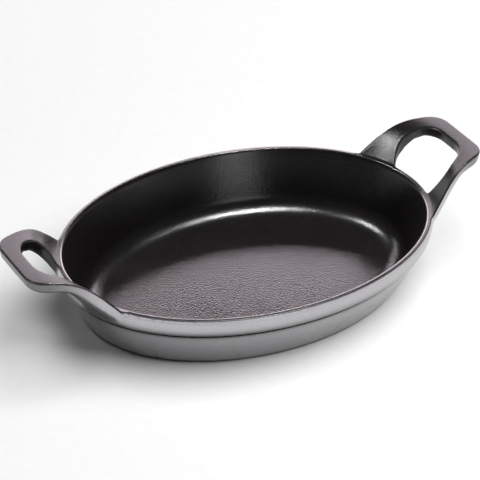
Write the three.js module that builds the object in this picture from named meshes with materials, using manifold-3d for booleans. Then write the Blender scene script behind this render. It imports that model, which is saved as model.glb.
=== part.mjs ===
// Oval gratin dish: one iron casting with two loop handles, under three fused coats of enamel.
// Millimetres, +Z up. The origin is the middle of the underside, and +X runs to one handle.

import * as THREE from 'three';
import Module from 'manifold-3d';

const { clamp, degToRad, lerp } = THREE.MathUtils;

// Bowl, measured over the enamel. The rim line is the oval at the outer edge of the rim.
const RIM_LENGTH = 240;
const RIM_WIDTH = 176;
const RIM_HEIGHT = 40.5;
const LIP_WIDTH = 3.8;
const LIP_ROUND = 1.2;
const WALL_DRAFT = degToRad(22);
const FLOOR_THICKNESS = 4.5;
const FLOOR_FILLET = 14;
const BASE_INSET = 16;
const BASE_ROUND = 1.5;
const LOWER_WALL_SWELL = 1.4;

// Band under the rim, and the groove that sets the lower wall back from it
const BAND_HEIGHT = 12.8;
const BAND_BULGE = 0.6;
const BULGE_DROP = 4.2;
const BAND_TUCK = 1.5;
const GROOVE_DEPTH = 3.3;

// Loop handles, outline from above: outer edge first, then the finger hole
const HANDLE_REACH = 34.3;
const ROOT_DEPTH = 2.6;
const ROOT_SPAN = 84.8;
const ROOT_SWEEP = degToRad(2);
const ROOT_BLEND = 10;
const GRIP_SPAN = 48.8;
const GRIP_CORNER = 10;
const GRIP_WIDTH = 10.2;
const ARM_WIDTH = 10.5;
const HOLE_SPAN = 29;
const HOLE_CLEARANCE = 5;
const HOLE_BLEND = 9;
const HOLE_CORNER = 12;

// Loop handles, profile from the side: the arms climb from the band and level off at the grip
const GRIP_RISE = 23.8;
const GRIP_THICKNESS = 7;
const CROWN_SINK = 4.8;
const CROWN_ANGLE = degToRad(62);
const CROWN_PULL = 28.4;
const CROWN_EASE = 19.2;
const BELLY_LIFT = 4;
const BELLY_ANGLE = degToRad(54.3);
const BELLY_PULL = 38.2;
const BELLY_EASE = 19.4;
const BELLY_SLOPE = 0.16;
const SIDE_LEAN = 1.1;
const TOP_ROUND = 1;
const UNDER_ROUND = 1.2;

// Enamel: thickness, the clearance that parts each coat, and where the coats meet
const COAT = 0.5;
const CLEARANCE = 0.3;
const BLACK_EDGE = 0.9;
const BASE_EDGE = 1.3;

// Facets
const OVAL_STEPS = 60;
const CURVE_STEPS = 2;
const OUTLINE_STEPS = [3, 4, 3, 1];
const ROUND_STEPS = 2;
const FACE_STEPS = 4;
const PROFILE_STEPS = 48;
const FOOT_PASSES = 24;

const wasm = await Module();
wasm.setup();

// A point seen from above, by its angle round the rim line and its distance outside it
function rimPoint(angle, outside) {
  const foot = new THREE.Vector2(RIM_LENGTH * Math.cos(angle), RIM_WIDTH * Math.sin(angle)).divideScalar(2);
  const square = new THREE.Vector2(RIM_WIDTH * Math.cos(angle), RIM_LENGTH * Math.sin(angle)).normalize();
  return foot.addScaledVector(square, outside);
}

// The other way round: slides a foot along the rim line until it lies square below the point
function rimPlace(point) {
  let angle = Math.atan2(point.y * RIM_LENGTH, point.x * RIM_WIDTH);
  for (let pass = 0; pass < FOOT_PASSES; pass++) {
    const along = new THREE.Vector2(-RIM_LENGTH * Math.sin(angle), RIM_WIDTH * Math.cos(angle)).divideScalar(2);
    angle += point.clone().sub(rimPoint(angle, 0)).dot(along) / along.lengthSq();
  }
  const square = rimPoint(angle, 1).sub(rimPoint(angle, 0));
  return { angle, outside: point.clone().sub(rimPoint(angle, 0)).dot(square) };
}

// The angle at which the rim line has this width across the dish
function rimAngle(span) {
  return Math.asin(span / RIM_WIDTH);
}

// Where a line from inside the dish crosses the oval that lies this far outside the rim line
function crossOval(start, direction, outside) {
  const axes = new THREE.Vector2(RIM_LENGTH / 2 + outside, RIM_WIDTH / 2 + outside);
  const from = start.clone().divide(axes);
  const step = direction.clone().divide(axes);
  const back = from.dot(step) / step.lengthSq();
  const reach = Math.sqrt(back * back + (1 - from.lengthSq()) / step.lengthSq()) - back;
  return start.clone().addScaledVector(direction, reach);
}

// Joins rings of points in order and closes each end round a middle point
function loft(rings, firstMiddle, lastMiddle) {
  const count = rings[0].length;
  const points = [...rings.flat(), firstMiddle, lastMiddle];
  const lastRing = (rings.length - 1) * count;
  const index = [];
  for (let k = 0; k < count; k++) {
    const next = (k + 1) % count;
    index.push(points.length - 2, k, next);
    for (let ring = 0; ring < lastRing; ring += count) {
      index.push(ring + k, ring + count + k, ring + count + next);
      index.push(ring + k, ring + count + next, ring + next);
    }
    index.push(points.length - 1, lastRing + next, lastRing + k);
  }
  return new THREE.BufferGeometry().setFromPoints(points).setIndex(index);
}

// Carries a section round the oval. The section holds distance outside the rim line against height,
// starts and ends on a level face, and runs with the material on its right.
function ovalLoft(section) {
  const rings = section.map((place) => Array.from({ length: OVAL_STEPS }, (_, k) => {
    const plan = rimPoint((2 * Math.PI * k) / OVAL_STEPS, place.x);
    return new THREE.Vector3(plan.x, plan.y, place.y);
  }));
  const middle = (place) => new THREE.Vector3(0, 0, place.y);
  return loft(rings, middle(section[0]), middle(section.at(-1)));
}

// Bowl section: floor fillet, inner wall, lip, band, groove, lower wall and base edge
function bowlSection() {
  const lipFoot = RIM_HEIGHT - LIP_ROUND;
  const filletTop = FLOOR_THICKNESS + FLOOR_FILLET * (1 - Math.sin(WALL_DRAFT));
  const wallFoot = -LIP_WIDTH - (lipFoot - filletTop) * Math.tan(WALL_DRAFT);
  const floorEdge = wallFoot - FLOOR_FILLET * Math.cos(WALL_DRAFT);
  const filletCentre = FLOOR_THICKNESS + FLOOR_FILLET;
  const bulge = RIM_HEIGHT - BULGE_DROP;
  const groove = RIM_HEIGHT - BAND_HEIGHT;
  const baseRun = BASE_ROUND * (BASE_INSET - GROOVE_DEPTH) / groove;
  const swell = new THREE.Vector2(-(BASE_INSET + GROOVE_DEPTH) / 2 + LOWER_WALL_SWELL, groove / 2);

  const path = new THREE.Path();
  path.absarc(floorEdge, filletCentre, FLOOR_FILLET, -Math.PI / 2, -WALL_DRAFT, false);
  path.lineTo(-LIP_WIDTH, lipFoot);
  path.quadraticCurveTo(-LIP_WIDTH, RIM_HEIGHT, -LIP_WIDTH + LIP_ROUND, RIM_HEIGHT);
  path.lineTo(-LIP_ROUND, RIM_HEIGHT);
  path.quadraticCurveTo(0, RIM_HEIGHT, 0, lipFoot);
  path.quadraticCurveTo(BAND_BULGE, (lipFoot + bulge) / 2, BAND_BULGE, bulge);
  path.quadraticCurveTo(BAND_BULGE, groove + BAND_TUCK, -GROOVE_DEPTH, groove);
  path.quadraticCurveTo(swell.x, swell.y, -BASE_INSET + baseRun, BASE_ROUND);
  path.quadraticCurveTo(-BASE_INSET, 0, -BASE_INSET - BASE_ROUND, 0);
  return path.getPoints(CURVE_STEPS);
}

// Height of a side profile at a distance outside the rim line
function heightAlong(profile) {
  const points = profile.getPoints(PROFILE_STEPS);
  return (outside) => {
    const found = points.findIndex((point) => point.x > outside);
    const high = found < 0 ? PROFILE_STEPS : Math.max(found, 1);
    const [from, to] = [points[high - 1], points[high]];
    return lerp(from.y, to.y, clamp((outside - from.x) / (to.x - from.x), 0, 1));
  };
}

// A profile that leaves the bowl at an angle, and eases into the slope of the grip's face
function armProfile(start, angle, pull, gripHeight, ease, slope) {
  const climb = new THREE.Vector2(Math.cos(angle), Math.sin(angle));
  return heightAlong(new THREE.CubicBezierCurve(
    start,
    start.clone().addScaledVector(climb, pull),
    new THREE.Vector2(HANDLE_REACH - ease, gripHeight - slope * ease),
    new THREE.Vector2(HANDLE_REACH, gripHeight),
  ));
}

// The crown climbs out of the lip, and the belly out of the middle of the band
const gripTop = RIM_HEIGHT + GRIP_RISE;
const gripUnder = gripTop - GRIP_THICKNESS;
const crownStart = new THREE.Vector2(-ROOT_DEPTH, RIM_HEIGHT - CROWN_SINK);
const bellyStart = new THREE.Vector2(0, RIM_HEIGHT - BAND_HEIGHT + BELLY_LIFT);
const crownHeight = armProfile(crownStart, CROWN_ANGLE, CROWN_PULL, gripTop, CROWN_EASE, 0);
const bellyHeight = armProfile(bellyStart, BELLY_ANGLE, BELLY_PULL, gripUnder, BELLY_EASE, BELLY_SLOPE);

// Points along an outline that is drawn from one root to the middle of the grip, and its mirror image
function wholeOutline(path) {
  const half = path.curves.flatMap((curve, k) => curve.getPoints(OUTLINE_STEPS[k]).slice(0, -1));
  const mirrored = half.map((point) => new THREE.Vector2(point.x, -point.y)).reverse();
  return [...half, path.curves.at(-1).getPoint(1), ...mirrored];
}

// A root inside the wall, a sweep out of the band, a straight arm, a rounded corner and half the grip
function loopOutline(root, rootCorner, rootRun, gripCorner, cornerRun, direction) {
  const armStart = rootCorner.clone().addScaledVector(direction, rootRun);
  const armEnd = gripCorner.clone().addScaledVector(direction, -cornerRun);
  const path = new THREE.Path([root]);
  path.quadraticCurveTo(rootCorner.x, rootCorner.y, armStart.x, armStart.y);
  path.lineTo(armEnd.x, armEnd.y);
  path.quadraticCurveTo(gripCorner.x, gripCorner.y, gripCorner.x, gripCorner.y - cornerRun);
  path.lineTo(gripCorner.x, 0);
  return wholeOutline(path);
}

// Outer edge and finger hole of the handle at +X. The hole's arms run parallel to the outer edge.
function handleOutlines() {
  const leave = rimPoint(rimAngle(ROOT_SPAN), 0);
  const tip = new THREE.Vector2(RIM_LENGTH / 2 + HANDLE_REACH, GRIP_SPAN / 2);
  const direction = tip.clone().sub(leave).normalize();
  const inward = new THREE.Vector2(direction.y, -direction.x);
  const innerArm = leave.clone().addScaledVector(inward, ARM_WIDTH);
  const holeRoot = crossOval(innerArm, direction, HOLE_CLEARANCE);
  const gripInside = tip.x - GRIP_WIDTH;
  const holeTip = innerArm.clone().addScaledVector(direction, (gripInside - innerArm.x) / direction.x);
  const root = rimPoint(rimAngle(ROOT_SPAN) + ROOT_SWEEP, -ROOT_DEPTH);
  const holeStart = rimPoint(rimAngle(HOLE_SPAN), -ROOT_DEPTH);
  return {
    outer: loopOutline(root, leave, ROOT_BLEND, tip, GRIP_CORNER, direction),
    hole: loopOutline(holeStart, holeRoot, HOLE_BLEND, holeTip, Math.min(HOLE_CORNER, holeTip.y), direction),
  };
}

// Section across the loop, from its outer edge to the finger hole, with its four edges rounded.
// The outer side leans in towards the belly, and the hole's side is upright.
function handleSection(outer, hole) {
  const width = rimPoint(outer.angle, outer.outside).distanceTo(rimPoint(hole.angle, hole.outside));
  const place = (across, surface, rise) => {
    const outside = lerp(outer.outside, hole.outside, across / width);
    const plan = rimPoint(lerp(outer.angle, hole.angle, across / width), outside);
    return new THREE.Vector3(plan.x, plan.y, surface(outside) + rise);
  };
  const edge = (across, surface, lift, radius, quarter) => Array.from({ length: ROUND_STEPS + 1 }, (_, k) => {
    const turn = (quarter + k / ROUND_STEPS) * Math.PI / 2;
    return place(across + radius * Math.cos(turn), surface, lift + radius * Math.sin(turn));
  });
  const face = (surface, from, to) => Array.from({ length: FACE_STEPS - 1 }, (_, k) => (
    place(lerp(from, to, (k + 1) / FACE_STEPS), surface, 0)
  ));
  return [
    ...edge(TOP_ROUND, crownHeight, -TOP_ROUND, TOP_ROUND, 1),
    ...edge(SIDE_LEAN + UNDER_ROUND, bellyHeight, UNDER_ROUND, UNDER_ROUND, 2),
    ...face(bellyHeight, SIDE_LEAN + UNDER_ROUND, width - UNDER_ROUND),
    ...edge(width - UNDER_ROUND, bellyHeight, UNDER_ROUND, UNDER_ROUND, 3),
    ...edge(width - TOP_ROUND, crownHeight, -TOP_ROUND, TOP_ROUND, 4),
    ...face(crownHeight, width - TOP_ROUND, TOP_ROUND),
  ];
}

function handleLoop() {
  const { outer, hole } = handleOutlines();
  const rings = outer.map((point, k) => handleSection(rimPlace(point), rimPlace(hole[k])));
  const middle = (ring) => ring.reduce((sum, point) => sum.add(point), new THREE.Vector3()).divideScalar(ring.length);
  return loft(rings, middle(rings[0]), middle(rings.at(-1)));
}

// Moves a closed surface inwards along its normals
function inset(geometry, depth) {
  geometry.computeVertexNormals();
  const { position, normal } = geometry.attributes;
  const point = new THREE.Vector3();
  const outward = new THREE.Vector3();
  for (let k = 0; k < position.count; k++) {
    outward.fromBufferAttribute(normal, k);
    point.fromBufferAttribute(position, k).addScaledVector(outward, -depth);
    position.setXYZ(k, point.x, point.y, point.z);
  }
  return geometry;
}

function solidFrom(geometry) {
  return new wasm.Manifold(new wasm.Mesh({
    numProp: 3,
    vertProperties: geometry.attributes.position.array,
    triVerts: Uint32Array.from(geometry.index.array),
  }));
}

// Bowl and both handles as one body, this deep below the finished enamel
function body(depth) {
  const right = inset(handleLoop(), depth);
  const left = right.clone().rotateZ(Math.PI);
  return solidFrom(inset(ovalLoft(bowlSection()), depth)).add(solidFrom(right)).add(solidFrom(left));
}

// Everything inside the middle of the wall, and the lip up to this far inside the rim line
function cavity(edge) {
  const underLip = RIM_HEIGHT - LIP_WIDTH;
  const section = [
    new THREE.Vector2(-edge, RIM_HEIGHT + LIP_WIDTH),
    new THREE.Vector2(-edge, underLip),
    new THREE.Vector2(-BASE_INSET - BASE_ROUND, FLOOR_THICKNESS / 2),
  ];
  return solidFrom(ovalLoft(section));
}

// Everything up to this height round the base edge
function footing(height) {
  const clear = -GROOVE_DEPTH;
  const section = [new THREE.Vector2(clear, height), new THREE.Vector2(clear, -height)];
  return solidFrom(ovalLoft(section));
}

function piece(name, solid, look) {
  const { vertProperties, triVerts, numProp } = solid.getMesh();
  const geometry = new THREE.BufferGeometry();
  geometry.setAttribute('position', new THREE.Float32BufferAttribute(vertProperties, numProp));
  geometry.setIndex(Array.from(triVerts));
  geometry.computeVertexNormals();
  const mesh = new THREE.Mesh(geometry, new THREE.MeshStandardMaterial(look));
  mesh.name = name;
  return mesh;
}

const RAW_IRON = { color: 0x4a4846, roughness: 0.8, metalness: 0.9 };
const MATT_BLACK = { color: 0x1b1a1b, roughness: 0.55, metalness: 0 };
const GLOSS_GRAPHITE = { color: 0x77767a, roughness: 0.18, metalness: 0 };

const coat = body(0).subtract(body(COAT));
const casting = body(COAT + CLEARANCE);
const lining = coat.intersect(cavity(BLACK_EDGE + CLEARANCE));
const underside = coat.intersect(footing(BASE_EDGE - CLEARANCE));
const outside = coat.subtract(cavity(BLACK_EDGE)).subtract(footing(BASE_EDGE));

const dish = new THREE.Group();
dish.add(
  piece('iron_casting', casting, RAW_IRON),
  piece('interior_enamel', lining, MATT_BLACK),
  piece('exterior_enamel', outside, GLOSS_GRAPHITE),
  piece('base_enamel', underside, MATT_BLACK),
);

export default dish;
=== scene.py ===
import math

import bmesh
import bpy
import numpy as np
from mathutils import Matrix, Vector


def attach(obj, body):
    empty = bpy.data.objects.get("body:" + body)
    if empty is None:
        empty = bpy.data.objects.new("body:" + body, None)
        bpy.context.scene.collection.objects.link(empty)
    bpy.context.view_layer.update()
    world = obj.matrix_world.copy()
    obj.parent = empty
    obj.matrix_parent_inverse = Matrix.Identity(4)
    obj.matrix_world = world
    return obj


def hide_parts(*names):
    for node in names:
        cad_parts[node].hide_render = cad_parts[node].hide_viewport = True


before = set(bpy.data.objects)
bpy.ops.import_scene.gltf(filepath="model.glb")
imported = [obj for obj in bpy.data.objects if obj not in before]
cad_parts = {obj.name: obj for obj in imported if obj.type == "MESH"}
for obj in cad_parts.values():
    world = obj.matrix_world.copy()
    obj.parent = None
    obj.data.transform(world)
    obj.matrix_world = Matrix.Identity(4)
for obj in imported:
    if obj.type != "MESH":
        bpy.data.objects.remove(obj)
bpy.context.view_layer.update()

# ---------------------------------------------------------------- dimensions, in millimetres
# The same values and curves as the part's source, drawn finer and with cast fillets.
RIM_LENGTH = 240
RIM_WIDTH = 176
RIM_HEIGHT = 40.5
LIP_WIDTH = 3.8
LIP_ROUND = 1.2
WALL_DRAFT = math.radians(22)
FLOOR_THICKNESS = 4.5
FLOOR_FILLET = 14
BASE_INSET = 16
BASE_ROUND = 1.5
LOWER_WALL_SWELL = 1.4
BAND_HEIGHT = 12.8
BAND_BULGE = 0.6
BULGE_DROP = 4.2
BAND_TUCK = 1.5
GROOVE_DEPTH = 3.3
HANDLE_REACH = 34.3
ROOT_DEPTH = 2.6
ROOT_SPAN = 84.8
ROOT_SWEEP = math.radians(2)
ROOT_BLEND = 10
GRIP_SPAN = 48.8
GRIP_CORNER = 10
GRIP_WIDTH = 10.2
ARM_WIDTH = 10.5
HOLE_SPAN = 29
HOLE_CLEARANCE = 5
HOLE_BLEND = 9
HOLE_CORNER = 12
GRIP_RISE = 23.8
GRIP_THICKNESS = 7
CROWN_SINK = 4.8
CROWN_ANGLE = math.radians(62)
CROWN_PULL = 28.4
CROWN_EASE = 19.2
BELLY_LIFT = 4
BELLY_ANGLE = math.radians(54.3)
BELLY_PULL = 38.2
BELLY_EASE = 19.4
BELLY_SLOPE = 0.16
SIDE_LEAN = 1.1
COAT = 0.5
BLACK_EDGE = 0.9
BASE_EDGE = 1.3

# Softness of the casting: how far an edge or a fillet reaches
TOP_EASE = 1.6
UNDER_EASE = 2.2
FILLET = 1.6
LIP_INNER_ROUND = 2.0

# The fine round channel at the bottom of the groove
CHANNEL_RADIUS = 1.0
CHANNEL_STANDOFF = 0.35
CHANNEL_EASE = 0.4

# Meshes: the outer skin is drawn on a grid and then thinned to a share of its faces. The grid starts
# so many cells below the base that none of its levels grazes the crest above the groove.
GRID = 0.6
GRID_DROP = 2.75
SKIN_SHARE = 0.28
CUT_TOLERANCE = 1e-4
OVAL_STEPS = 360
CURVE_STEPS = 24
PROFILE_STEPS = 96
CENTRE_SHARES = np.linspace(0.1, 1, 10)
MM = 0.001

# The handles lie beyond this distance from the middle
HANDLE_START = 92
FAR_AWAY = 50


# ---------------------------------------------------------------- curves
def rim_point(angle, outside):
    foot = np.array([RIM_LENGTH * np.cos(angle), RIM_WIDTH * np.sin(angle)]) / 2
    square = np.array([RIM_WIDTH * np.cos(angle), RIM_LENGTH * np.sin(angle)])
    return foot + square / np.hypot(*square) * outside


def rim_outside(x, y):
    """Distance of plan points outside the rim line."""
    long, short = RIM_LENGTH / 2, RIM_WIDTH / 2
    angle = np.arctan2(y * long, x * short)
    for _ in range(24):
        along_x, along_y = -long * np.sin(angle), short * np.cos(angle)
        miss_x, miss_y = x - long * np.cos(angle), y - short * np.sin(angle)
        angle = angle + (miss_x * along_x + miss_y * along_y) / (along_x**2 + along_y**2)
    square_x, square_y = short * np.cos(angle), long * np.sin(angle)
    miss_x, miss_y = x - long * np.cos(angle), y - short * np.sin(angle)
    return (miss_x * square_x + miss_y * square_y) / np.hypot(square_x, square_y)


def rim_angle(span):
    return math.asin(span / RIM_WIDTH)


def bezier(*corners, steps=CURVE_STEPS):
    """Points along a quadratic or cubic curve, without its first point."""
    t = np.linspace(0, 1, steps + 1)[1:, None]
    points = [np.array(c, float) for c in corners]
    while len(points) > 1:
        points = [a + (b - a) * t for a, b in zip(points, points[1:])]
    return points[0]


def bowl_section():
    """Inner and outer half of the bowl's section: distance outside the rim line against height."""
    lip_foot = RIM_HEIGHT - LIP_ROUND
    fillet_top = FLOOR_THICKNESS + FLOOR_FILLET * (1 - math.sin(WALL_DRAFT))
    wall_foot = -LIP_WIDTH - (lip_foot - fillet_top) * math.tan(WALL_DRAFT)
    floor_edge = wall_foot - FLOOR_FILLET * math.cos(WALL_DRAFT)
    bulge = RIM_HEIGHT - BULGE_DROP
    groove = RIM_HEIGHT - BAND_HEIGHT
    base_run = BASE_ROUND * (BASE_INSET - GROOVE_DEPTH) / groove
    swell = (-(BASE_INSET + GROOVE_DEPTH) / 2 + LOWER_WALL_SWELL, groove / 2)
    turn = np.linspace(-math.pi / 2, -WALL_DRAFT, CURVE_STEPS + 1)
    fillet = np.stack([floor_edge + FLOOR_FILLET * np.cos(turn),
                       FLOOR_THICKNESS + FLOOR_FILLET * (1 + np.sin(turn))], -1)
    lip_corner = np.array([-LIP_WIDTH + LIP_ROUND * math.tan(WALL_DRAFT), RIM_HEIGHT])
    wall_top = lip_corner - LIP_INNER_ROUND * np.array([math.tan(WALL_DRAFT), 1])
    wall = np.linspace(fillet[-1], wall_top, 9)[1:]
    inner_round = bezier(wall_top, lip_corner, lip_corner + [LIP_ROUND, 0])
    lip_middle = np.array([[-LIP_WIDTH / 2, RIM_HEIGHT]])
    inner = np.concatenate([fillet, wall, inner_round, lip_middle])
    outer = np.concatenate([
        lip_middle,
        [(-LIP_ROUND, RIM_HEIGHT)],
        bezier((-LIP_ROUND, RIM_HEIGHT), (0, RIM_HEIGHT), (0, lip_foot)),
        bezier((0, lip_foot), (BAND_BULGE, (lip_foot + bulge) / 2), (BAND_BULGE, bulge)),
        bezier((BAND_BULGE, bulge), (BAND_BULGE, groove + BAND_TUCK), (-GROOVE_DEPTH, groove)),
        bezier((-GROOVE_DEPTH, groove), swell, (-BASE_INSET + base_run, BASE_ROUND)),
        bezier((-BASE_INSET + base_run, BASE_ROUND), (-BASE_INSET, 0), (-BASE_INSET - BASE_ROUND, 0)),
    ])
    return inner, outer


def arm_profile(start, angle, pull, grip_height, ease, slope):
    """Height of one face of a handle and its rise, against the distance outside the rim line."""
    start = np.array(start, float)
    climb = np.array([math.cos(angle), math.sin(angle)])
    points = np.concatenate([[start], bezier(
        start, start + climb * pull, (HANDLE_REACH - ease, grip_height - slope * ease),
        (HANDLE_REACH, grip_height), steps=PROFILE_STEPS)])
    rise = np.gradient(points[:, 1], points[:, 0])
    return (lambda outside: np.interp(outside, points[:, 0], points[:, 1]),
            lambda outside: np.interp(outside, points[:, 0], rise, left=0, right=0))


GRIP_TOP = RIM_HEIGHT + GRIP_RISE
GROOVE_HEIGHT = RIM_HEIGHT - BAND_HEIGHT
crown_height, crown_rise = arm_profile(
    (-ROOT_DEPTH, RIM_HEIGHT - CROWN_SINK), CROWN_ANGLE, CROWN_PULL, GRIP_TOP, CROWN_EASE, 0)
belly_height, belly_rise = arm_profile(
    (0, RIM_HEIGHT - BAND_HEIGHT + BELLY_LIFT), BELLY_ANGLE, BELLY_PULL,
    GRIP_TOP - GRIP_THICKNESS, BELLY_EASE, BELLY_SLOPE)


def handle_outlines():
    """Outer edge and finger hole of a handle, from the root to the middle of the grip."""
    leave = rim_point(rim_angle(ROOT_SPAN), 0)
    tip = np.array([RIM_LENGTH / 2 + HANDLE_REACH, GRIP_SPAN / 2])
    along = (tip - leave) / np.hypot(*(tip - leave))
    inner_arm = leave + np.array([along[1], -along[0]]) * ARM_WIDTH
    axes = np.array([RIM_LENGTH, RIM_WIDTH]) / 2 + HOLE_CLEARANCE
    start, step = inner_arm / axes, along / axes
    back = start @ step / (step @ step)
    hole_root = inner_arm + along * (math.sqrt(back**2 + (1 - start @ start) / (step @ step)) - back)
    hole_tip = inner_arm + along * (tip[0] - GRIP_WIDTH - inner_arm[0]) / along[0]

    def loop(root, root_corner, root_run, corner, run):
        arm_start, arm_end = root_corner + along * root_run, corner - along * run
        grip = corner - np.array([0, run])
        return np.concatenate([[root], bezier(root, root_corner, arm_start), [arm_end],
                               bezier(arm_end, corner, grip), [(corner[0], 0)]])

    outer = loop(rim_point(rim_angle(ROOT_SPAN) + ROOT_SWEEP, -ROOT_DEPTH), leave, ROOT_BLEND,
                 tip, GRIP_CORNER)
    hole = loop(rim_point(rim_angle(HOLE_SPAN), -ROOT_DEPTH), hole_root, HOLE_BLEND,
                hole_tip, min(HOLE_CORNER, hole_tip[1]))
    return outer, hole


# ---------------------------------------------------------------- the casting as a distance field
BATCH = 8192


def signed(x, y, path, closing):
    """Distance of points from a path, negative inside the shape that the closing corners complete."""
    start, step = path[:-1], np.diff(path, axis=0)
    ring = np.concatenate([path, closing])
    far = np.roll(ring, -1, axis=0)
    flat_x, flat_y = x.ravel(), y.ravel()
    found = np.empty(len(flat_x))
    for low in range(0, len(flat_x), BATCH):
        batch = slice(low, low + BATCH)
        px, py = flat_x[batch, None], flat_y[batch, None]
        dx, dy = px - start[:, 0], py - start[:, 1]
        t = np.clip((dx * step[:, 0] + dy * step[:, 1]) / (step**2).sum(1), 0, 1)
        distance = np.sqrt(((dx - t * step[:, 0])**2 + (dy - t * step[:, 1])**2).min(1))
        level = np.where(far[:, 1] == ring[:, 1], 1, far[:, 1] - ring[:, 1])
        cross = ring[:, 0] + (py - ring[:, 1]) * (far[:, 0] - ring[:, 0]) / level
        hits = ((ring[:, 1] > py) != (far[:, 1] > py)) & (px < cross)
        found[batch] = np.where(hits.sum(1) % 2, -distance, distance)
    return found.reshape(x.shape)


def tabulate(function, low, high, step):
    """A function of two coordinates, sampled on a grid and looked up between its points."""
    u, v = (np.arange(a, b + step, step) for a, b in zip(low, high))
    grid = function(*np.meshgrid(u, v, indexing="ij"))

    def look(a, b):
        i = np.clip((a - low[0]) / step, 0, len(u) - 1.001)
        j = np.clip((b - low[1]) / step, 0, len(v) - 1.001)
        p, q = i.astype(int), j.astype(int)
        s, t = i - p, j - q
        return ((grid[p, q] * (1 - s) + grid[p + 1, q] * s) * (1 - t)
                + (grid[p, q + 1] * (1 - s) + grid[p + 1, q + 1] * s) * t)

    return look


INNER, OUTER = bowl_section()
HANDLE_EDGE, FINGER_HOLE = handle_outlines()
SECTION = np.concatenate([INNER, OUTER[1:]])
# Lowest corner, highest corner and step of the tables for the plan, the bowl's section and a handle's plan
PLAN_TABLE = (0, 0), (160, 110), 0.5
SECTION_TABLE = (-24, -4), (10, 46), 0.1
HANDLE_TABLE = (90, 0), (160, 60), 0.2
BOWL_CLOSING = [(-60, 0), (-60, FLOOR_THICKNESS)]
outside_at = tabulate(rim_outside, *PLAN_TABLE)
bowl_at = tabulate(lambda outside, z: signed(outside, z, SECTION, BOWL_CLOSING), *SECTION_TABLE)
edge_at = tabulate(lambda x, y: signed(x, y, HANDLE_EDGE, [(0, 0), (0, HANDLE_EDGE[0, 1])]), *HANDLE_TABLE)
hole_at = tabulate(lambda x, y: signed(x, y, FINGER_HOLE, [(0, 0), (0, FINGER_HOLE[0, 1])]), *HANDLE_TABLE)


def ease_max(a, b, reach):
    """The larger of two values, rounded over where they are nearly the same."""
    return np.maximum(a, b) + np.maximum(reach - np.abs(a - b), 0)**2 / (4 * reach)


def outside_of(points):
    return outside_at(np.abs(points[:, 0]), np.abs(points[:, 1]))


def field(points):
    """Signed distance from the finished surface of bowl and handles, with their fillets."""
    x, y, z = np.abs(points[:, 0]), np.abs(points[:, 1]), points[:, 2]
    outside = outside_of(points)
    channel = CHANNEL_RADIUS - np.hypot(outside + GROOVE_DEPTH - CHANNEL_STANDOFF, z - GROOVE_HEIGHT)
    bowl = ease_max(bowl_at(outside, z), channel, CHANNEL_EASE)
    crown, belly = crown_height(outside), belly_height(outside)
    top = (z - crown) / np.hypot(1, crown_rise(outside))
    under = (belly - z) / np.hypot(1, belly_rise(outside))
    drop = np.clip((crown - z) / (crown - belly), 0, 1)
    sides = np.maximum(edge_at(x, y) + SIDE_LEAN * drop, -hole_at(x, y))
    handle = ease_max(ease_max(top, sides, TOP_EASE), under, UNDER_EASE)
    handle = np.maximum(handle, -outside - ROOT_DEPTH)
    handle = np.where(x > HANDLE_START, handle, FAR_AWAY)
    return -ease_max(-bowl, -handle, FILLET)


def slope(points, step=0.2):
    """Unit normals of the finished surface."""
    out = np.stack([field(points + move) - field(points - move) for move in np.eye(3) * step], -1)
    return out / np.linalg.norm(out, axis=1, keepdims=True)


def settle(points, passes=4):
    """Slides points straight onto the finished surface."""
    for _ in range(passes):
        points = points - slope(points) * np.clip(field(points), -1, 1)[:, None]
    return points


def ramp_up(value, low, high):
    """0 up to low, 1 from high on."""
    return np.clip((value - low) / (high - low), 0, 1)


def black_cover(points):
    """Where the black of the inside runs over the outer skin: the rim's edge and the tops of the handles.

    Each ramp fades between two distances in millimetres.
    """
    x, y, z = np.abs(points[:, 0]), np.abs(points[:, 1]), points[:, 2]
    outside = outside_of(points)
    crown, belly = crown_height(outside), belly_height(outside)
    side = edge_at(x, y) + SIDE_LEAN * np.clip((crown - z) / (crown - belly), 0, 1)
    depth = (crown - z) / np.hypot(1, crown_rise(outside))
    inner = ramp_up(-side, 0.1, 0.7) * ramp_up(z - belly, 0.2, 0.8)
    edge = ramp_up(-side, -0.5, -0.2) * (1 - ramp_up(depth, 0.8, 1.1))
    top = np.maximum(inner, edge) * ramp_up(hole_at(x, y), -1.6, -0.6)
    lip = ramp_up(-outside, 0.1, 0.5) * ramp_up(z, RIM_HEIGHT - 2, RIM_HEIGHT - 1)
    return np.maximum(np.where((x > HANDLE_START) & (outside > -0.5), top, 0), lip)


RECESS_REACHES = (1.5, 3.0, 5.0, 8.0)
RECESS_LIFT = 0.7


def recess(points, normals):
    """How closely other parts of the surface face a point: 0 in the open, 1 deep in a corner."""
    upward = normals + np.array([0, 0, RECESS_LIFT])
    upward = upward / np.linalg.norm(upward, axis=1, keepdims=True)
    shut = [1 - field(points + way * reach) / reach
            for way in (normals, upward) for reach in RECESS_REACHES]
    return np.clip(np.mean(shut, axis=0), 0, 1)


# Painted shade: how much of its mirroring the grey coat's colour loses on and under the arms, in the
# groove and in recesses, where shade falls; at the base the coat is simply made darker just above the edge
ARM_PAINTED_SHADE = 0.55
UNDER_PAINTED_SHADE = 0.75
GROOVE_PAINTED_SHADE = 0.92
BASE_LOSS = 0.5
RECESS_PAINTED_SHADE = 0.95


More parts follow.
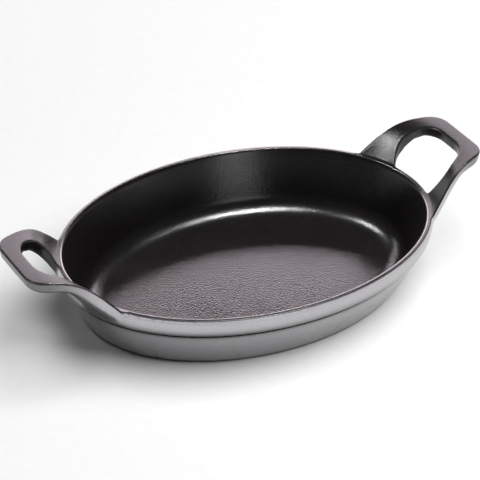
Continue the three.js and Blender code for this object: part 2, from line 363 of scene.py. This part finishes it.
def tone(points, normals):
    """How strongly the grey coat mirrors, with painted shade: full on the band and the lower wall, darker on
    and under the arms, in the groove and just above the base, darkest in recesses.
    """
    outside, z = outside_of(points), points[:, 2]
    arm = ramp_up(outside, 8, 28)
    lower_wall = ramp_up(GROOVE_HEIGHT - z, 0, 1)
    under = ramp_up(-normals[:, 2], 0.1, 0.6) * (1 - lower_wall)
    groove = 1 - ramp_up(np.hypot(outside + GROOVE_DEPTH, z - GROOVE_HEIGHT), 1.0, 2.8)
    base = 1 - ramp_up(z, BASE_EDGE + 0.6, BASE_EDGE + 1.6)
    # Painted shade on the arms, under them and in the groove; darker just above the base
    open_tone = ((1 - ARM_PAINTED_SHADE * arm) * (1 - UNDER_PAINTED_SHADE * under)
                 * (1 - GROOVE_PAINTED_SHADE * groove) * (1 - BASE_LOSS * base))
    # Painted shade in recesses: darker where other surfaces close round a point
    return open_tone * (1 - RECESS_PAINTED_SHADE * ramp_up(recess(points, normals), 0.06, 0.36))


# ---------------------------------------------------------------- meshes
def oval_rings(section):
    """One ring of points round the oval for each point of a section."""
    angle = 2 * math.pi * np.arange(OVAL_STEPS) / OVAL_STEPS
    rings = []
    for outside, height in section:
        plan = rim_point(angle, outside)
        rings.append(np.stack([plan[0], plan[1], np.full(OVAL_STEPS, height)], -1))
    return rings


def shrink(ring, shares):
    """Copies of a level ring, drawn in towards the middle."""
    return [ring * np.array([s, s, 1]) for s in shares]


def ring_faces(rings):
    """Quads between so many rings of points."""
    k = np.arange(OVAL_STEPS)
    following = (k + 1) % OVAL_STEPS
    band = np.stack([k, following, OVAL_STEPS + following, OVAL_STEPS + k], -1)
    return np.concatenate([band + r * OVAL_STEPS for r in range(rings - 1)]).tolist()


def mesh_object(name, points, faces):
    mesh = bpy.data.meshes.new(name)
    mesh.from_pydata((np.asarray(points) * MM).tolist(), [], faces)
    mesh.update()
    made = bpy.data.objects.new(name, mesh)
    bpy.context.scene.collection.objects.link(made)
    return made


def read_points(mesh):
    flat = np.empty(len(mesh.vertices) * 3, np.float32)
    mesh.vertices.foreach_get("co", flat)
    return flat.reshape(-1, 3).astype(float) / MM


def read_normals(mesh):
    flat = np.empty(len(mesh.vertices) * 3, np.float32)
    mesh.vertex_normals.foreach_get("vector", flat)
    return flat.reshape(-1, 3).astype(float)


def shell(name, points, faces, normals, material, **marks):
    """A closed coat of enamel: the surface, its back one coat deeper, and the edge between them."""
    count = len(points)
    edges = {}
    for face in faces:
        for a, b in zip(face, face[1:] + face[:1]):
            edges[(a, b)] = True
    rim = [(a, b) for a, b in edges if (b, a) not in edges]
    back = [[v + count for v in reversed(face)] for face in faces]
    side = [[b, a, a + count, b + count] for a, b in rim]
    made = mesh_object(name, np.concatenate([points, points - normals * COAT]), faces + back + side)
    made.data.polygons.foreach_set("use_smooth", np.ones(len(made.data.polygons), bool))
    made.data.normals_split_custom_set_from_vertices(np.concatenate([normals, -normals]).tolist())
    made.data.materials.append(material)
    for mark, values in marks.items():
        attribute = made.data.attributes.new(mark, "FLOAT", "POINT")
        attribute.data.foreach_set("value", np.tile(values, 2).astype(np.float32))
    return made


def surface_net(reach):
    """Quads over the finished surface: one point in each cell of a grid that it passes through."""
    x, y = (np.arange(0.5, size / GRID + 2) * GRID for size in reach[:2])
    z = np.arange(-GRID_DROP, reach[2] / GRID + 2) * GRID
    grid = np.stack(np.meshgrid(x, y, z, indexing="ij"), -1)
    quarter = field(grid.reshape(-1, 3)).reshape(grid.shape[:3])
    half = np.concatenate([quarter[::-1], quarter])
    value = np.concatenate([half[:, ::-1], half], axis=1)
    cells, crossings = [], []
    for axis in range(3):
        low, high = np.moveaxis(value, axis, 0)[:-1], np.moveaxis(value, axis, 0)[1:]
        low, high = np.moveaxis(low, 0, axis), np.moveaxis(high, 0, axis)
        at = np.argwhere((low < 0) != (high < 0))
        near, far = low[tuple(at.T)], high[tuple(at.T)]
        crossing = at.astype(float)
        crossing[:, axis] += near / (near - far)
        round_edge = np.zeros((4, 3), int)
        round_edge[[1, 2], (axis + 1) % 3] = -1
        round_edge[[2, 3], (axis + 2) % 3] = -1
        cell = np.ravel_multi_index(tuple(np.moveaxis(at[:, None] + round_edge, 2, 0)), value.shape)
        cells.append(np.where((near < 0)[:, None], cell, cell[:, ::-1]))
        crossings.append(np.repeat(crossing[:, None], 4, axis=1))
    cells, crossings = np.concatenate(cells), np.concatenate(crossings)
    quads = np.unique(cells, return_inverse=True)[1].ravel()
    shared = np.bincount(quads)
    middle = np.stack([np.bincount(quads, crossings[..., k].ravel()) / shared for k in range(3)], -1)
    return np.array([-x[-1], -y[-1], z[0]]) + middle * GRID, quads.reshape(-1, 4)


def clipped(mesh, keep):
    """The part of a mesh where keep is above zero, cut along the line between."""
    work = bmesh.new()
    work.from_mesh(mesh)
    work.verts.ensure_lookup_table()
    value = keep(np.array([v.co for v in work.verts]) / MM)
    layer = work.verts.layers.float.new("keep")
    for v, amount in zip(work.verts, value):
        v[layer] = 0 if abs(amount) < CUT_TOLERANCE else amount
    for edge in list(work.edges):
        a, b = edge.verts
        if a[layer] * b[layer] < 0:
            share = a[layer] / (a[layer] - b[layer])
            bmesh.utils.edge_split(edge, a, share)[1][layer] = 0
    bmesh.ops.connect_verts(work, verts=[v for v in work.verts if v[layer] == 0])
    gone = [f for f in work.faces if sum(v[layer] for v in f.verts) <= 0]
    bmesh.ops.delete(work, geom=gone, context="FACES")
    loose = [v for v in work.verts if not v.link_faces]
    bmesh.ops.delete(work, geom=loose, context="VERTS")
    work.to_mesh(mesh)
    work.free()
    return mesh


def thinned(mesh, share):
    """A copy of a mesh with this share of its faces, most of them where it bends."""
    probe = bpy.data.objects.new("probe", mesh)
    bpy.context.scene.collection.objects.link(probe)
    probe.modifiers.new("thin", "DECIMATE").ratio = share
    thin = probe.evaluated_get(bpy.context.evaluated_depsgraph_get())
    copy = bpy.data.meshes.new_from_object(thin)
    bpy.data.objects.remove(probe)
    bpy.data.meshes.remove(mesh)
    return copy


def coat_line(height):
    """Where the black coat of the inside ends in the wall, outside the rim line."""
    return np.interp(height, [FLOOR_THICKNESS / 2, RIM_HEIGHT - LIP_WIDTH],
                     [-BASE_INSET - BASE_ROUND, -BLACK_EDGE])


def grey_zone(points):
    """Above zero where the surface is outside the black coats of the inside and of the base."""
    z = points[:, 2]
    return np.minimum(outside_of(points) - coat_line(z), z - BASE_EDGE)


def exterior():
    """Band, lower wall and both handles, in one skin with fillets at the roots."""
    points, quads = surface_net((RIM_LENGTH / 2 + HANDLE_REACH, RIM_WIDTH / 2 + BAND_BULGE, GRIP_TOP))
    used = quads[(grey_zone(points) > -2 * GRID)[quads].any(1)]
    chosen, used = np.unique(used, return_inverse=True)
    mesh = bpy.data.meshes.new("skin")
    mesh.from_pydata((settle(points[chosen]) * MM).tolist(), [], used.reshape(-1, 4).tolist())
    mesh = thinned(clipped(mesh, grey_zone), SKIN_SHARE)
    points = settle(read_points(mesh))
    faces = [list(f.vertices) for f in mesh.polygons]
    bpy.data.meshes.remove(mesh)
    return points, faces, slope(points)


def lining():
    """Floor, inner wall and rim top."""
    outer = OUTER[OUTER[:, 0] < -BLACK_EDGE]
    outer = outer[outer[:, 1] > RIM_HEIGHT - LIP_ROUND]
    last = OUTER[len(outer):len(outer) + 1]
    share = (-BLACK_EDGE - outer[-1, 0]) / (last[0, 0] - outer[-1, 0])
    section = np.concatenate([INNER, outer[1:], outer[-1:] + (last - outer[-1:]) * share])
    rings = oval_rings(section)
    rings = shrink(rings[0], CENTRE_SHARES[:-1]) + rings
    points = np.concatenate(rings)
    faces = ring_faces(len(rings)) + [list(range(OVAL_STEPS))]
    faces[-1].reverse()
    return points, [f[::-1] for f in faces]


def underside():
    """The base and the lowest edge of the wall."""
    outer = OUTER[(OUTER[:, 1] < BASE_EDGE) & (OUTER[:, 0] < -GROOVE_DEPTH)]
    above = OUTER[len(OUTER) - len(outer) - 1]
    share = (BASE_EDGE - outer[0, 1]) / (above[1] - outer[0, 1])
    section = np.concatenate([[outer[0] + (above - outer[0]) * share], outer])
    rings = oval_rings(section)
    rings = rings + shrink(rings[-1], CENTRE_SHARES[-2::-1])
    points = np.concatenate(rings)
    count = len(rings) * OVAL_STEPS
    faces = ring_faces(len(rings)) + [list(range(count - OVAL_STEPS, count))]
    return points, [f[::-1] for f in faces]


def structured_normals(points, faces):
    """Normals at the points, from the faces round them."""
    probe = mesh_object("probe", points, faces)
    normals = read_normals(probe.data)
    bpy.data.objects.remove(probe)
    return normals


# ---------------------------------------------------------------- materials
class Look:
    """A node material with a Principled shader, and textures measured in metres of the object."""

    def __init__(self, name):
        self.material = bpy.data.materials.new(name)
        self.material.use_nodes = True
        self.tree = self.material.node_tree
        self.shader = self.tree.nodes["Principled BSDF"]
        self.place = self.node("ShaderNodeTexCoord").outputs["Object"]

    def node(self, kind, **values):
        made = self.tree.nodes.new(kind)
        for key, value in values.items():
            setattr(made, key, value)
        return made

    def link(self, source, target):
        self.tree.links.new(source, target)

    def set(self, **values):
        for key, value in values.items():
            socket = self.shader.inputs[key.replace("_", " ")]
            socket.default_value = (*value, 1) if isinstance(value, tuple) else value

    def noise(self, grain, detail=2.0, roughness=0.5):
        """Noise whose features are about this many millimetres across."""
        made = self.node("ShaderNodeTexNoise")
        made.inputs["Scale"].default_value = 1 / (grain * MM)
        made.inputs["Detail"].default_value = detail
        made.inputs["Roughness"].default_value = roughness
        self.link(self.place, made.inputs["Vector"])
        return made.outputs["Fac"]

    def spread(self, value, low, high, start=0.3, end=0.7):
        """Carries a value from start..end to low..high."""
        made = self.node("ShaderNodeMapRange")
        for socket, number in zip(("From Min", "From Max", "To Min", "To Max"), (start, end, low, high)):
            made.inputs[socket].default_value = number
        self.link(value, made.inputs["Value"])
        return made.outputs["Result"]

    def ramp(self, value, *stops):
        made = self.node("ShaderNodeValToRGB")
        ramp = made.color_ramp
        while len(ramp.elements) < len(stops):
            ramp.elements.new(0.5)
        for element, (place, colour) in zip(ramp.elements, stops):
            element.position = place
            element.color = (*colour, 1)
        self.link(value, made.inputs["Fac"])
        return made.outputs["Color"]

    def bump(self, value, depth, below=None):
        """Relief this many millimetres deep."""
        made = self.node("ShaderNodeBump")
        made.inputs["Strength"].default_value = 1
        made.inputs["Distance"].default_value = depth * MM
        self.link(value, made.inputs["Height"])
        if below is not None:
            self.link(below, made.inputs["Normal"])
        return made.outputs["Normal"]

    def mark(self, name):
        """A value that the mesh carries at each point."""
        return self.node("ShaderNodeAttribute", attribute_name=name).outputs["Fac"]

    def combine(self, operation, first, second):
        """Two numbers made into one, such as their product."""
        made = self.node("ShaderNodeMath", operation=operation)
        self.link(first, made.inputs[0])
        self.link(second, made.inputs[1])
        return made.outputs[0]

    def mix(self, share, first, second):
        """A number between two others."""
        made = self.node("ShaderNodeMix", data_type="FLOAT")
        for socket, value in zip(("Factor", "A", "B"), (share, first, second)):
            self.link(value, next(i for i in made.inputs if i.name == socket and i.enabled))
        return next(o for o in made.outputs if o.enabled)

    def blend(self, share, first, second, how="MIX"):
        """A colour between two others."""
        made = self.node("ShaderNodeMix", data_type="RGBA", blend_type=how)
        sockets = {i.name: i for i in made.inputs if i.enabled}
        if isinstance(share, (int, float)):
            sockets["Factor"].default_value = share
        else:
            self.link(share, sockets["Factor"])
        self.link(first, sockets["A"])
        self.link(second, sockets["B"])
        return next(o for o in made.outputs if o.enabled)

    def feed(self, socket, value):
        self.link(value, self.shader.inputs[socket])


# Grain in millimetres, and the two colours that each noise runs between
ENAMEL_IOR = 1.62
GRAIN = 0.95
GRAIN_DEPTH = 0.08
BLACK = (0.3, (0.0065, 0.0057, 0.0062)), (0.62, (0.0145, 0.0124, 0.0134))
GREY = (0.3, (0.445, 0.435, 0.45)), (0.7, (0.515, 0.505, 0.52))
IRON = (0.3, (0.055, 0.053, 0.05)), (0.7, (0.1, 0.096, 0.092))
PAPER = (0.3, (0.89, 0.89, 0.89)), (0.7, (0.91, 0.91, 0.91))
DARK_TO_FULL = (0, (0, 0, 0)), (1, (1, 1, 1))


def black_enamel(name, grain_depth, rough):
    """Black enamel with a fine grain, which the mark "relief" smooths near the lip."""
    look = Look(name)
    grain = look.noise(GRAIN, 0.0)
    relief = look.combine("MULTIPLY", grain, look.mark("relief"))
    cloud = look.noise(28)
    look.feed("Base Color", look.ramp(grain, *BLACK))
    look.feed("Roughness", look.spread(cloud, rough - 0.03, rough + 0.03))
    look.feed("Normal", look.bump(relief, grain_depth))
    look.set(IOR=ENAMEL_IOR)
    return look.material


def graphite_enamel(name):
    """Glossy grey enamel with metal flakes, darkened by painted shade and matt in recesses, and black where
    the inside's coat covers it.
    """
    look = Look(name)
    flake = look.noise(0.9, 3.0, 0.6)
    grain = look.noise(GRAIN, 0.0)
    cloud = look.noise(40)
    peel = look.noise(5, 1.0)
    cover = look.mark("black_cover")
    # Painted shade: the mark darkens the grey coat's colour on and under the arms, in the groove and in
    # recesses
    shade = look.ramp(look.mark("tone"), *DARK_TO_FULL)
    graphite = look.blend(1, look.ramp(flake, *GREY), shade, "MULTIPLY")
    look.feed("Base Color", look.blend(cover, graphite, look.ramp(grain, *BLACK)))
    look.feed("Metallic", look.spread(cover, 0.9, 0, 0, 1))
    recessed = look.spread(look.mark("tone"), 0.85, 0, 0, 0.36)
    look.feed("Roughness", look.combine("MAXIMUM", look.spread(cloud, 0.24, 0.3), recessed))
    rise = look.mix(cover, flake, grain)
    relief = look.combine("MULTIPLY", rise, look.spread(cover, 0.1, 1, 0, 1))
    look.feed("Normal", look.bump(relief, GRAIN_DEPTH, below=look.bump(peel, 0.015)))
    look.set(IOR=ENAMEL_IOR)
    return look.material


def cast_iron(name):
    """Raw sand-cast iron, hidden under the coats."""
    look = Look(name)
    sand = look.noise(0.8, 4.0, 0.65)
    look.feed("Base Color", look.ramp(sand, *IRON))
    look.feed("Roughness", look.spread(sand, 0.6, 0.8))
    look.feed("Normal", look.bump(sand, GRAIN_DEPTH))
    look.set(Metallic=0.9)
    return look.material


black = black_enamel("matt_black_enamel", GRAIN_DEPTH, 0.22)
grey = graphite_enamel("graphite_enamel")
base = black_enamel("base_black_enamel", 0.02, 0.4)
iron = cast_iron("cast_iron")

# ---------------------------------------------------------------- pieces
LIP_SMOOTHING = 0.8

points, faces, normals = exterior()
# The skin carries the black cover and the painted shade as marks
skin = shell("graphite_exterior", points, faces, normals, grey,
             black_cover=black_cover(points), tone=tone(points, normals))

points, faces = lining()
normals = structured_normals(points, faces)
near_lip = points[:, 2] > RIM_HEIGHT - LIP_WIDTH
points[near_lip] = settle(points[near_lip])
normals[near_lip] = slope(points[near_lip])
bowl = shell("black_interior", points, faces, normals, black,
             relief=1 - LIP_SMOOTHING * ramp_up(points[:, 2], RIM_HEIGHT - 3, RIM_HEIGHT - 1.5))

points, faces = underside()
foot = shell("black_underside", points, faces, structured_normals(points, faces), base,
             relief=np.ones(len(points)))

for made, node, slot in ((skin, "exterior_enamel", "graphite_enamel"),
                         (bowl, "interior_enamel", "black_enamel"),
                         (foot, "base_enamel", "base_enamel")):
    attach(made, "root")
    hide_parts(node)
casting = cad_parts["iron_casting"]
casting.data.materials.clear()
casting.data.materials.append(iron)

# ---------------------------------------------------------------- camera
CAMERA_AZIMUTH = math.radians(-30.54)
CAMERA_ELEVATION = math.radians(33.58)
CAMERA_ROLL = math.radians(1.32)
CAMERA_DISTANCE = 1.3287
CAMERA_TARGET = Vector((-0.002297, 0.004613, 0.030))
CAMERA_LENS = 165
SENSOR_WIDTH = 36
scene = bpy.context.scene
scene.view_settings.view_transform = "Standard"
camera_side = Vector((math.sin(CAMERA_AZIMUTH), -math.cos(CAMERA_AZIMUTH), 0))
camera_right = Vector((math.cos(CAMERA_AZIMUTH), math.sin(CAMERA_AZIMUTH), 0))
skyward = Vector((0, 0, 1))
towards = camera_side * math.cos(CAMERA_ELEVATION) + skyward * math.sin(CAMERA_ELEVATION)
up = towards.cross(camera_right)
turn = Matrix((math.cos(CAMERA_ROLL) * camera_right + math.sin(CAMERA_ROLL) * up,
               math.cos(CAMERA_ROLL) * up - math.sin(CAMERA_ROLL) * camera_right, towards)).transposed()
lens = bpy.data.cameras.new("camera")
lens.lens = CAMERA_LENS
lens.sensor_width = SENSOR_WIDTH
camera = bpy.data.objects.new("camera", lens)
camera.matrix_world = Matrix.Translation(CAMERA_TARGET + towards * CAMERA_DISTANCE) @ turn.to_4x4()
scene.collection.objects.link(camera)
scene.camera = camera


# ---------------------------------------------------------------- light and floor
LAMP_DISTANCE = 2.5
WHITE = (1, 1, 1)
ROSE = (1.0, 0.88, 0.95)


def softbox(name, azimuth, elevation, wide, high, radiance, lights, colour=WHITE, direct=False):
    """A lamp seen from the dish under these angles. Azimuth 0 is behind the camera, 90 at its right.

    It lights one collection only, and a direct one isn't mirrored on from surface to surface.
    """
    a, e = math.radians(azimuth), math.radians(elevation)
    out = (camera_side * math.cos(a) + camera_right * math.sin(a)) * math.cos(e) + skyward * math.sin(e)
    data = bpy.data.lights.new(name, "AREA")
    data.shape = "RECTANGLE"
    data.size, data.size_y = (2 * LAMP_DISTANCE * math.tan(math.radians(angle) / 2) for angle in (wide, high))
    data.color = colour
    data.energy = radiance * 4 * data.size * data.size_y
    if direct:
        data.cycles.max_bounces = 0
        data.cycles.use_multiple_importance_sampling = False
    lamp = bpy.data.objects.new(name, data)
    lamp.location = out * LAMP_DISTANCE
    lamp.rotation_euler = (-out).to_track_quat("-Z", "Y").to_euler()
    lamp.light_linking.receiver_collection = lights
    scene.collection.objects.link(lamp)


def lit_group(name, *members):
    """A collection that lamps can be kept to."""
    group = bpy.data.collections.new(name)
    for member in members:
        group.objects.link(member)
    return group


dish_only = lit_group("dish_only", skin, bowl, foot)
bowl_only = lit_group("bowl_only", bowl)
skin_only = lit_group("skin_only", skin)
floor_only = lit_group("floor_only")

# azimuth, elevation, width and height in degrees, then radiance
softbox("top_softbox", 120, 77, 15, 15, 28, dish_only, direct=True)
softbox("left_back_softbox", -143, 19, 13, 18, 5.5, bowl_only)
softbox("left_high_softbox", -143, 58, 10, 10, 26, bowl_only, direct=True)
softbox("low_back_softbox", 180, 18, 60, 28, 6.2, bowl_only, ROSE)
softbox("back_softbox", 180, 25, 60, 36, 2.0, skin_only, ROSE)
softbox("right_front_softbox", 32, 18, 16, 24, 1.2, dish_only)
softbox("left_front_softbox", -68, 32, 12, 16, 14, skin_only)
softbox("floor_softbox", 90, 63, 60, 60, 3.2, floor_only)

# White up to just above the horizon, then a dim even grey
HORIZON = (0.07, (1, 1, 1, 1))
SKY = (0.15, (0.03, 0.03, 0.031, 1))
world = bpy.data.worlds.new("studio")
world.use_nodes = True
world_nodes, world_links = world.node_tree.nodes, world.node_tree.links
direction = world_nodes.new("ShaderNodeTexCoord")
split = world_nodes.new("ShaderNodeSeparateXYZ")
fade = world_nodes.new("ShaderNodeValToRGB")
for element, (height, shade) in zip(fade.color_ramp.elements, (HORIZON, SKY)):
    element.position = height
    element.color = shade
world_links.new(direction.outputs["Generated"], split.inputs["Vector"])
world_links.new(split.outputs["Z"], fade.inputs["Fac"])
world_links.new(fade.outputs["Color"], world_nodes["Background"].inputs["Color"])
scene.world = world

FLOOR_REACH = 6000
FLOOR_DROP = 0.05
FLOOR_CORNERS = ((-1, -1), (1, -1), (1, 1), (-1, 1))
BACKDROP_START, BACKDROP_END = 0.25, 0.8
floor = mesh_object("floor", [(x * FLOOR_REACH, y * FLOOR_REACH, -FLOOR_DROP) for x, y in FLOOR_CORNERS],
                    [[0, 1, 2, 3]])


def pale_floor():
    """Pale paper that keeps the dish's shadow. Seen directly or mirrored, it fades to white further out."""
    look = Look("pale_floor")
    look.feed("Base Color", look.ramp(look.noise(6, 3.0), *PAPER))
    look.set(Roughness=0.9, Specular_IOR_Level=0)
    path = look.node("ShaderNodeLightPath")
    seen = path.outputs["Is Camera Ray"]
    for other in ("Is Glossy Ray", "Is Transmission Ray"):
        seen = look.combine("MAXIMUM", seen, path.outputs[other])
    distance = look.node("ShaderNodeVectorMath", operation="LENGTH")
    look.link(look.place, distance.inputs[0])
    far = look.spread(distance.outputs["Value"], 0, 1, BACKDROP_START, BACKDROP_END)
    white = look.node("ShaderNodeEmission")
    white.inputs["Strength"].default_value = 1
    backdrop = look.node("ShaderNodeMixShader")
    look.link(far, backdrop.inputs[0])
    look.link(look.shader.outputs[0], backdrop.inputs[1])
    look.link(white.outputs[0], backdrop.inputs[2])
    chosen = look.node("ShaderNodeMixShader")
    look.link(seen, chosen.inputs[0])
    look.link(look.shader.outputs[0], chosen.inputs[1])
    look.link(backdrop.outputs[0], chosen.inputs[2])
    look.link(chosen.outputs[0], look.tree.nodes["Material Output"].inputs["Surface"])
    return look.material


floor.data.materials.append(pale_floor())
floor_only.objects.link(floor)
